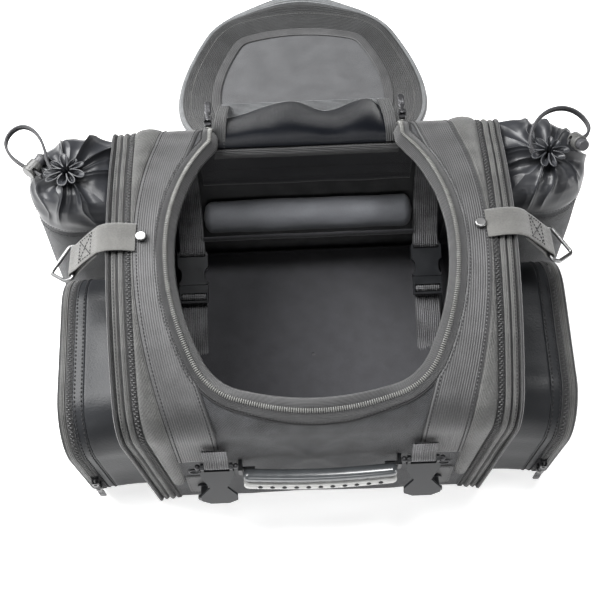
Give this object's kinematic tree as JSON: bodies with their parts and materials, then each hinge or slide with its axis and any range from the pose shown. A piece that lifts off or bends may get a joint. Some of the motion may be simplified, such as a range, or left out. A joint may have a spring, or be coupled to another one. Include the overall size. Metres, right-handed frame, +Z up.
{
  "type": "tail bag",
  "caption": "Arched motorcycle tail bag with a thrown-back horseshoe lid, hinged side pockets, drawstring bottle pockets, a front handle and strap buckles.",
  "frame": {"origin": "middle of the flat base on the ground", "axes": "+X to the right when facing the front handle side from the front, +Y towards the lid's hinge at the rear, +Z up"},
  "size_m": [0.5932, 0.6637, 0.2448],
  "materials": {
    "nylon": "ballistic nylon weave",
    "lining_black": "fine oxford lining",
    "board": "pressed board",
    "lining_grey": "light grey lining",
    "binding": "ribbed binding tape",
    "coil_zip": "nylon coil and tape",
    "webbing": "ribbed webbing",
    "polished_metal": "polished",
    "gunmetal": "plated",
    "vinyl": "glossy coated vinyl",
    "satin": "satin",
    "shock_cord": "braided sheath",
    "lock_plastic": "satin moulded",
    "buckle_plastic": "moulded acetal",
    "grip": "glossy moulded",
    "pvc": "coated tarpaulin"
  },
  "bodies": {
    "bag": {"base_panel": "nylon", "front_wall": "nylon", "rear_wall": "nylon", "top_panel": "nylon", "floor_board": "board", "floor_pad": "lining_black", "rear_facing": "lining_black", "lining_roll": "lining_grey", "hinge_binding": "binding", "main_zip": "coil_zip", "expansion_gussets": "nylon", "expansion_zips": "coil_zip", "side_boards": "nylon", "rim_piping": "binding", "webbing_bands": "webbing", "ring_tabs": "webbing", "tab_rivets": "polished_metal", "side_pocket_left": "vinyl", "side_pocket_right": "vinyl", "pocket_zips": "coil_zip", "zip_sliders": "gunmetal", "bottle_pocket_left": "nylon", "bottle_pocket_right": "nylon", "bottle_collar_left": "satin", "bottle_collar_right": "satin", "shock_cord_left": "shock_cord", "shock_cord_right": "shock_cord", "cord_lock_left": "lock_plastic", "cord_lock_right": "lock_plastic", "buckle_socket_left": "buckle_plastic", "buckle_socket_right": "buckle_plastic", "inner_straps_upper": "webbing", "inner_straps_lower": "webbing", "handle_mounts": "grip", "buckle_bars": "polished_metal", "bar_tabs": "webbing", "corner_patches": "webbing", "lashing_studs": "buckle_plastic"},
    "lid": {"lid_panel": "nylon", "lid_lining": "lining_grey", "lid_zip": "coil_zip", "document_pouch": "pvc"},
    "cover_right": {"pocket_cover_right": "nylon"},
    "pull_lower_right": {"pocket_pull_lower_right": "gunmetal"},
    "pull_upper_right": {"pocket_pull_upper_right": "gunmetal"},
    "main_pull_right": {"main_pull_right": "gunmetal"},
    "button_right": {"lock_button_right": "lock_plastic"},
    "prong_right": {"buckle_prong_right": "buckle_plastic"},
    "ring_right": {"side_ring_right": "polished_metal"},
    "plate_right": {"buckle_plate_right": "buckle_plastic"},
    "cover_left": {"pocket_cover_left": "nylon"},
    "pull_lower_left": {"pocket_pull_lower_left": "gunmetal"},
    "pull_upper_left": {"pocket_pull_upper_left": "gunmetal"},
    "main_pull_left": {"main_pull_left": "gunmetal"},
    "button_left": {"lock_button_left": "lock_plastic"},
    "prong_left": {"buckle_prong_left": "buckle_plastic"},
    "ring_left": {"side_ring_left": "polished_metal"},
    "plate_left": {"buckle_plate_left": "buckle_plastic"},
    "handle": {"handle_grip": "grip"}
  },
  "joints": [
    {"name": "lid_hinge", "type": "hinge", "parent": "bag", "child": "lid", "pos_m": [0, 0.174, 0.204], "axis": [1, 0, 0], "range_deg": [0, 200.9]},
    {"name": "cover_right_hinge", "type": "hinge", "parent": "bag", "child": "cover_right", "pos_m": [0.2414, -0.04354, 0.00255], "axis": [0.0499, 0.9988, 0], "range_deg": [0, 75]},
    {"name": "cover_left_hinge", "type": "hinge", "parent": "bag", "child": "cover_left", "pos_m": [-0.2414, -0.04354, 0.00255], "axis": [0.0499, -0.9988, 0], "range_deg": [0, 75]},
    {"name": "lower_pull_right_hinge", "type": "hinge", "parent": "bag", "child": "pull_lower_right", "pos_m": [0.22603, -0.1465, 0.03979], "axis": [-0.9988, 0.0499, 0], "range_deg": [0, 35]},
    {"name": "upper_pull_right_hinge", "type": "hinge", "parent": "bag", "child": "pull_upper_right", "pos_m": [0.22687, -0.14655, 0.05276], "axis": [-0.9988, 0.0499, 0], "range_deg": [0, 110]},
    {"name": "main_pull_right_hinge", "type": "hinge", "parent": "bag", "child": "main_pull_right", "pos_m": [0.10025, 0.179, 0.2229], "axis": [1, 0, 0], "range_deg": [0, 165]},
    {"name": "lock_button_right_press", "type": "slide", "parent": "bag", "child": "button_right", "axis": [-0.2276, 0.8466, -0.4812], "range_m": [0, 0.0026], "stiffness_N_per_m": 600, "springref_m": -0.004},
    {"name": "prong_right_release", "type": "slide", "parent": "bag", "child": "prong_right", "axis": [0, -0.9063, -0.4226], "range_m": [0, 0.024]},
    {"name": "ring_right_hinge", "type": "hinge", "parent": "bag", "child": "ring_right", "pos_m": [0.229, 0.024, 0.203], "axis": [0, -1, 0], "range_deg": [-65, 110]},
    {"name": "plate_right_hinge", "type": "hinge", "parent": "bag", "child": "plate_right", "pos_m": [0.097, -0.1615, 0.128], "axis": [-1, 0, 0], "range_deg": [0, 115]},
    {"name": "lower_pull_left_hinge", "type": "hinge", "parent": "bag", "child": "pull_lower_left", "pos_m": [-0.22603, -0.1465, 0.03979], "axis": [-0.9988, -0.0499, 0], "range_deg": [0, 35]},
    {"name": "upper_pull_left_hinge", "type": "hinge", "parent": "bag", "child": "pull_upper_left", "pos_m": [-0.22687, -0.14655, 0.05276], "axis": [-0.9988, -0.0499, 0], "range_deg": [0, 110]},
    {"name": "main_pull_left_hinge", "type": "hinge", "parent": "bag", "child": "main_pull_left", "pos_m": [-0.10025, 0.179, 0.2229], "axis": [1, 0, 0], "range_deg": [0, 165]},
    {"name": "lock_button_left_press", "type": "slide", "parent": "bag", "child": "button_left", "axis": [-0.5666, -0.824, -0.0014], "range_m": [0, 0.0026], "stiffness_N_per_m": 600, "springref_m": -0.004},
    {"name": "prong_left_release", "type": "slide", "parent": "bag", "child": "prong_left", "axis": [0, -0.9063, -0.4226], "range_m": [0, 0.024]},
    {"name": "ring_left_hinge", "type": "hinge", "parent": "bag", "child": "ring_left", "pos_m": [-0.229, 0.024, 0.203], "axis": [0, 1, 0], "range_deg": [-65, 110]},
    {"name": "plate_left_hinge", "type": "hinge", "parent": "bag", "child": "plate_left", "pos_m": [-0.097, -0.1615, 0.128], "axis": [-1, 0, 0], "range_deg": [0, 115]},
    {"name": "handle_hinge", "type": "hinge", "parent": "bag", "child": "handle", "pos_m": [0, -0.158, 0.11], "axis": [1, 0, 0], "range_deg": [-55, 55]}
  ]
}
